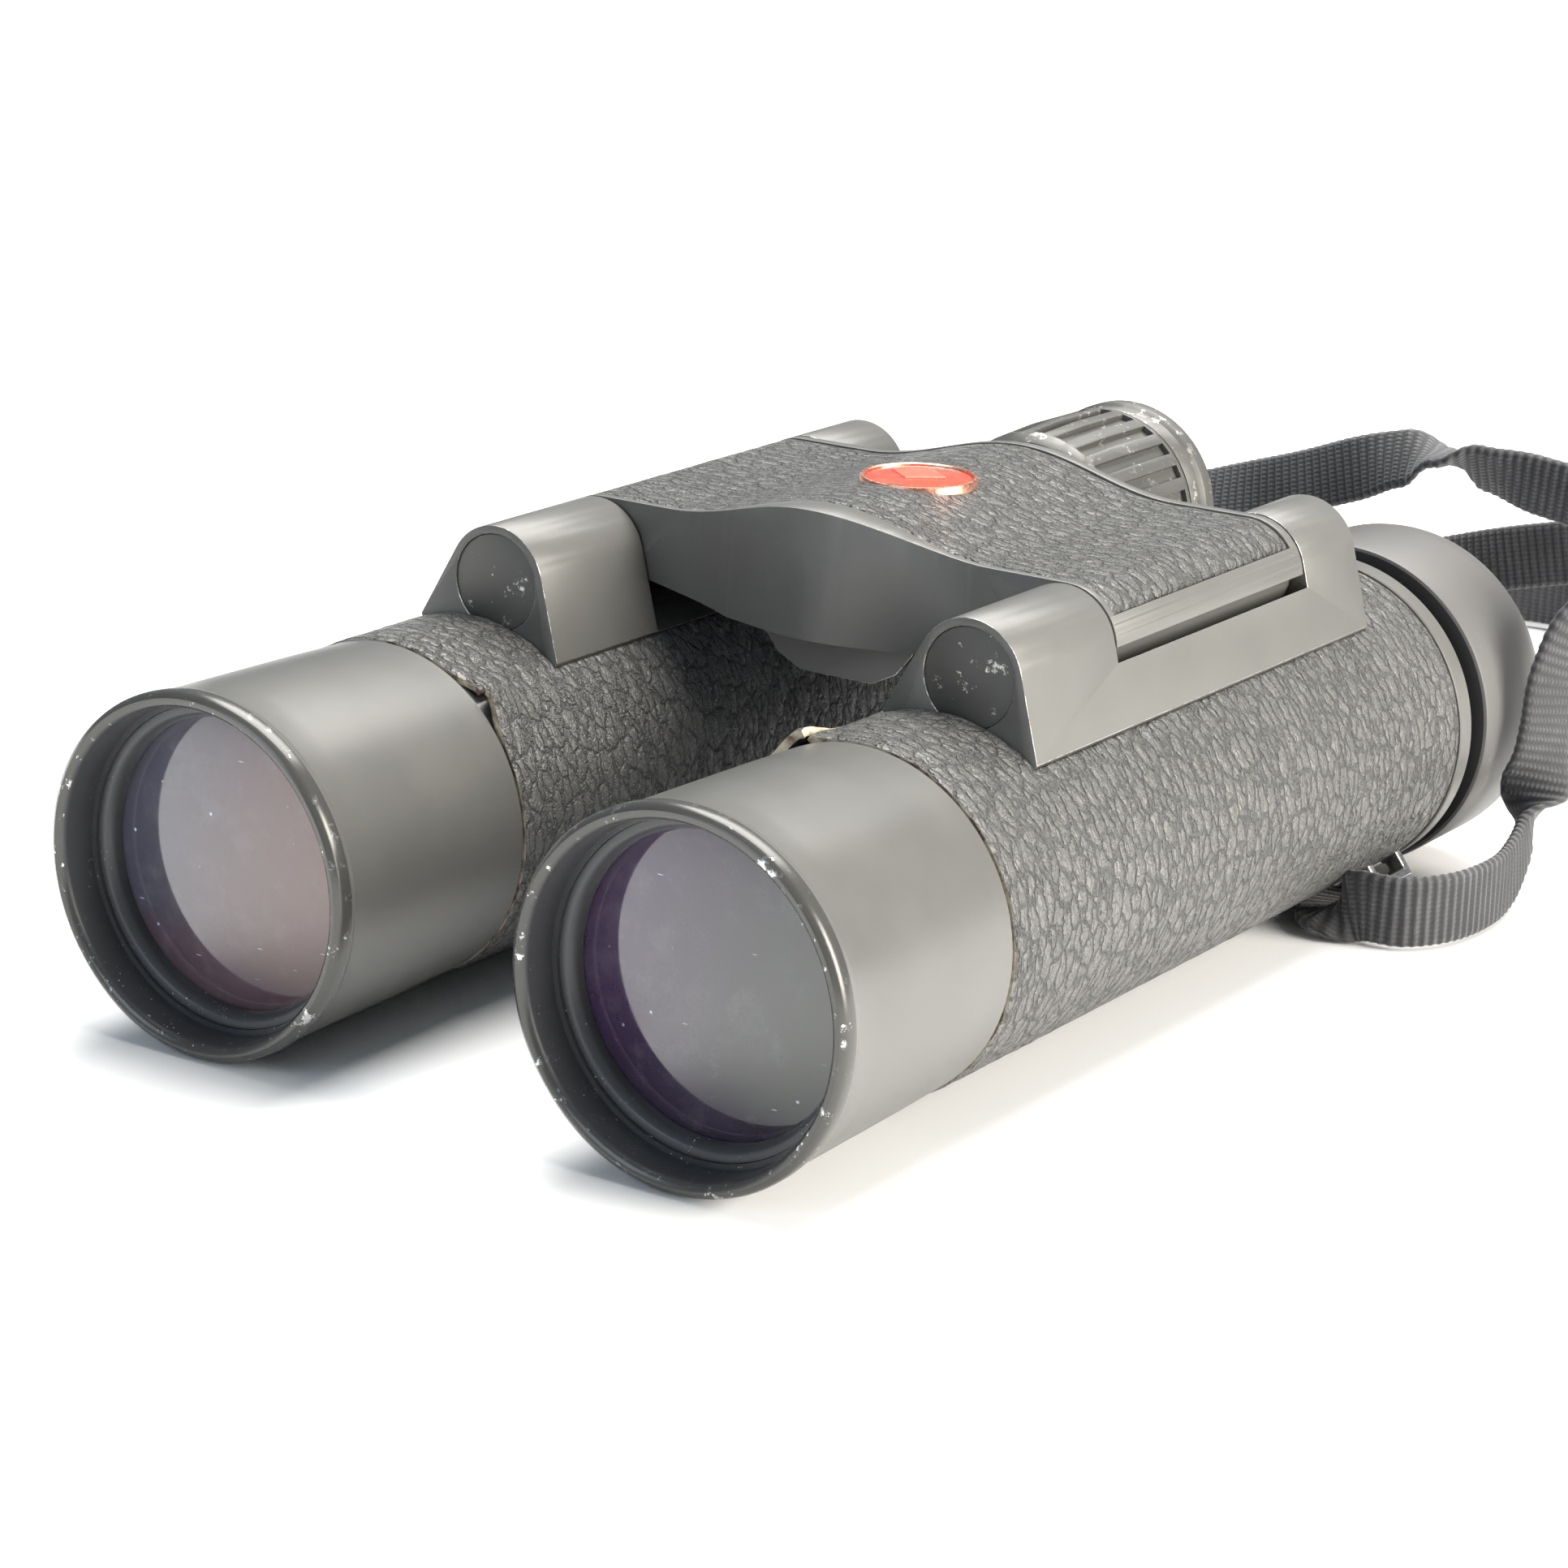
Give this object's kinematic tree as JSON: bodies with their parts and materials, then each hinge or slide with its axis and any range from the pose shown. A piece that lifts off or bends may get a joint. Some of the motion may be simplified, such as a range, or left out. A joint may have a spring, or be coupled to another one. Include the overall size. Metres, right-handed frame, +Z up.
{
  "type": "binoculars",
  "caption": "Compact folding binoculars: two leather covered barrels hinged to a bridge with a focus wheel, pull-out eyecups and a webbing neck strap.",
  "frame": {"origin": "on the table, midway between the two barrels and midway along their length", "axes": "+Y from the front lenses to the eyepieces, +X to the user's left barrel, +Z up"},
  "size_m": [0.0959, 0.196, 0.0389],
  "materials": {
    "anodised": "satin black anodised metal",
    "inner_black": "matt black",
    "alloy": "machined",
    "steel": "brushed",
    "brass": "machined",
    "leather": "pebbled black leather",
    "cup": "satin black",
    "coated_glass": "coated optical glass",
    "clear_glass": "clear optical glass",
    "enamel": "glossy enamel",
    "gilt": "polished",
    "webbing": "ribbed black webbing"
  },
  "bodies": {
    "bridge": {"bridge_frame": "anodised", "bridge_top_plate": "alloy", "bridge_leather": "leather", "badge_rim": "gilt", "badge_enamel": "enamel", "badge_diamond": "gilt", "bridge_bottom_cover": "anodised", "bottom_cover_screws": "steel", "front_hinge_pins": "steel", "rear_hinge_pins": "steel", "hinge_washers": "brass", "focus_bush": "brass", "strap_coil": "webbing"},
    "focus_wheel": {"focus_shaft": "steel", "focus_wheel": "anodised", "focus_wheel_cap": "anodised", "focus_wheel_screw": "steel"},
    "focus_yoke": {"focus_yoke": "brass"},
    "left_barrel": {"left_objective_tube": "anodised", "left_retaining_ring": "inner_black", "left_objective_front_lens": "coated_glass", "left_objective_rear_lens": "clear_glass", "left_barrel_shell": "alloy", "left_leather": "leather", "left_hinge_bracket": "anodised", "left_hinge_plugs": "anodised", "left_prism_holder": "inner_black", "left_prisms": "clear_glass", "left_eyepiece_tube": "inner_black", "left_rear_ring": "anodised", "left_eye_lenses": "coated_glass", "left_strap_lug": "steel", "strap_near": "webbing"},
    "left_eyecup": {"left_eyecup": "cup"},
    "left_focus": {"left_focus_rod": "brass", "left_focus_lens": "clear_glass"},
    "right_barrel": {"right_barrel_shell": "alloy", "right_leather": "leather", "right_hinge_bracket": "anodised", "right_hinge_plugs": "anodised", "right_prism_holder": "inner_black", "right_prisms": "clear_glass", "right_eyepiece_tube": "inner_black", "right_rear_ring": "anodised", "right_eye_lenses": "coated_glass", "right_strap_lug": "steel", "strap_far": "webbing"},
    "right_objective": {"right_objective_tube": "anodised", "right_retaining_ring": "inner_black", "right_objective_front_lens": "coated_glass", "right_objective_rear_lens": "clear_glass"},
    "right_eyecup": {"right_eyecup": "cup"},
    "right_focus": {"right_focus_rod": "brass", "right_focus_lens": "clear_glass"}
  },
  "joints": [
    {"name": "left_fold", "type": "hinge", "parent": "bridge", "child": "left_barrel", "pos_m": [0.0243, 0, 0.03084], "axis": [0, -1, 0], "range_deg": [-8.1, 63.9], "deforming": ["strap_near"]},
    {"name": "right_fold", "type": "hinge", "parent": "bridge", "child": "right_barrel", "pos_m": [-0.0197, 0, 0.03084], "axis": [0, 1, 0], "range_deg": [-23.9, 48.1], "deforming": ["strap_far"]},
    {"name": "focus_turn", "type": "hinge", "parent": "bridge", "child": "focus_wheel", "pos_m": [0.0023, 0, 0.03029], "axis": [0, 1, 0], "range_deg": [-200, 200]},
    {"name": "focus_yoke_slide", "type": "slide", "parent": "bridge", "child": "focus_yoke", "axis": [0, 1, 0], "range_m": [-0.00175, 0.00175]},
    {"name": "left_focus_slide", "type": "slide", "parent": "left_barrel", "child": "left_focus", "axis": [0, 1, 0], "range_m": [-0.00175, 0.00175]},
    {"name": "right_focus_slide", "type": "slide", "parent": "right_barrel", "child": "right_focus", "axis": [0, 1, 0], "range_m": [-0.00175, 0.00175]},
    {"name": "dioptre_turn", "type": "hinge", "parent": "right_barrel", "child": "right_objective", "pos_m": [-0.022, 0, 0.01425], "axis": [0, 1, 0], "range_deg": [-60, 60]},
    {"name": "left_eyecup_pull", "type": "slide", "parent": "left_barrel", "child": "left_eyecup", "axis": [0, 1, 0], "range_m": [0, 0.006]},
    {"name": "right_eyecup_pull", "type": "slide", "parent": "right_barrel", "child": "right_eyecup", "axis": [0, 1, 0], "range_m": [0, 0.006]}
  ],
  "couplings": [
    {"joint": "focus_yoke_slide", "follows": "focus_turn", "m_per_rad": 0.0005},
    {"joint": "left_focus_slide", "follows": "focus_turn", "m_per_rad": 0.0005},
    {"joint": "right_focus_slide", "follows": "focus_turn", "m_per_rad": 0.0005}
  ]
}
